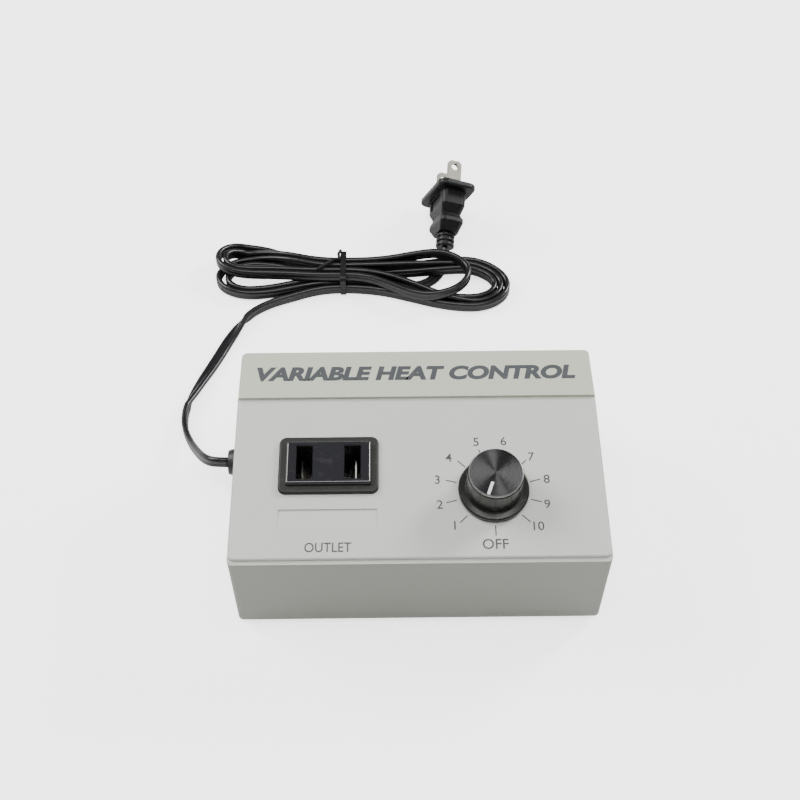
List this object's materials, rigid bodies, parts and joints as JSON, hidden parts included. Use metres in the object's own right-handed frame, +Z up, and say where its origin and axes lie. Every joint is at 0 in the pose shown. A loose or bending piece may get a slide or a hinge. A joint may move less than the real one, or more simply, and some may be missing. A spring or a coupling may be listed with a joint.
{
  "type": "soldering iron heat control",
  "caption": "Bench-top heat control for a soldering iron: a sloping plastic case with a mains outlet, a rotary dial knob and a flat mains cord tied in a hank.",
  "frame": {"origin": "centre of the case's outline on the surface that its feet stand on", "axes": "+X to the right seen from the front, +Y to the rear, +Z up"},
  "size_m": [0.1572, 0.2226, 0.0581],
  "materials": {
    "case_plastic": "satin",
    "cover_plastic": "satin",
    "outlet_plastic": "satin",
    "outlet_gloss": "gloss",
    "contact_brass": "satin",
    "knob_plastic": "satin",
    "dark_aluminium": "spun and anodised",
    "mill_aluminium": "satin",
    "pointer_paint": "satin",
    "plated_steel": "satin",
    "bushing_alloy": "satin",
    "plated_brass": "satin",
    "foot_rubber": "matte",
    "bushing_plastic": "satin",
    "cord_vinyl": "satin",
    "plug_vinyl": "satin",
    "tie_film": "satin",
    "board_laminate": "matte",
    "switch_phenolic": "satin",
    "semiconductor_epoxy": "satin",
    "iron_powder": "painted",
    "copper_wire": "enamelled",
    "capacitor_film": "gloss",
    "resistor_body": "satin",
    "wire_black": "satin",
    "wire_white": "satin",
    "wire_grey": "satin"
  },
  "bodies": {
    "case": {"board_screws": "plated_steel", "case_screws": "plated_steel", "choke_core": "iron_powder", "choke_winding": "copper_wire", "circuit_board": "board_laminate", "control_bushing": "bushing_alloy", "control_can": "plated_steel", "control_nut": "plated_steel", "control_tags": "plated_steel", "control_track": "board_laminate", "control_washer": "plated_steel", "cord_bushing": "bushing_plastic", "cord_clamp": "bushing_plastic", "cord_hank": "cord_vinyl", "cord_inner": "cord_vinyl", "cord_lead": "cord_vinyl", "diac": "plated_steel", "filter_capacitor": "capacitor_film", "heat_sink": "mill_aluminium", "heat_sink_screw": "plated_steel", "lower_case": "case_plastic", "outlet_body": "outlet_plastic", "outlet_contact_left": "contact_brass", "outlet_contact_right": "contact_brass", "outlet_face": "outlet_gloss", "outlet_rear_cover": "outlet_plastic", "plug_blades": "plated_brass", "plug_body": "plug_vinyl", "resistors": "resistor_body", "rubber_feet": "foot_rubber", "switch_housing": "switch_phenolic", "timing_capacitor": "capacitor_film", "top_cover": "cover_plastic", "triac": "semiconductor_epoxy", "twist_tie": "tie_film", "wire_control": "wire_grey", "wire_live": "wire_black", "wire_load": "wire_black", "wire_neutral": "wire_white"},
    "knob": {"knob_body": "knob_plastic", "knob_cap": "dark_aluminium", "knob_pointer": "pointer_paint", "knob_bush": "contact_brass", "knob_set_screw": "plated_steel", "control_shaft": "plated_steel", "control_wiper": "bushing_alloy"}
  },
  "joints": [
    {"name": "knob_turn", "type": "hinge", "parent": "case", "child": "knob", "pos_m": [0.0253, -0.01659, 0.04372], "axis": [0, 0.1219, -0.9925], "range_deg": [-20, 295]}
  ]
}
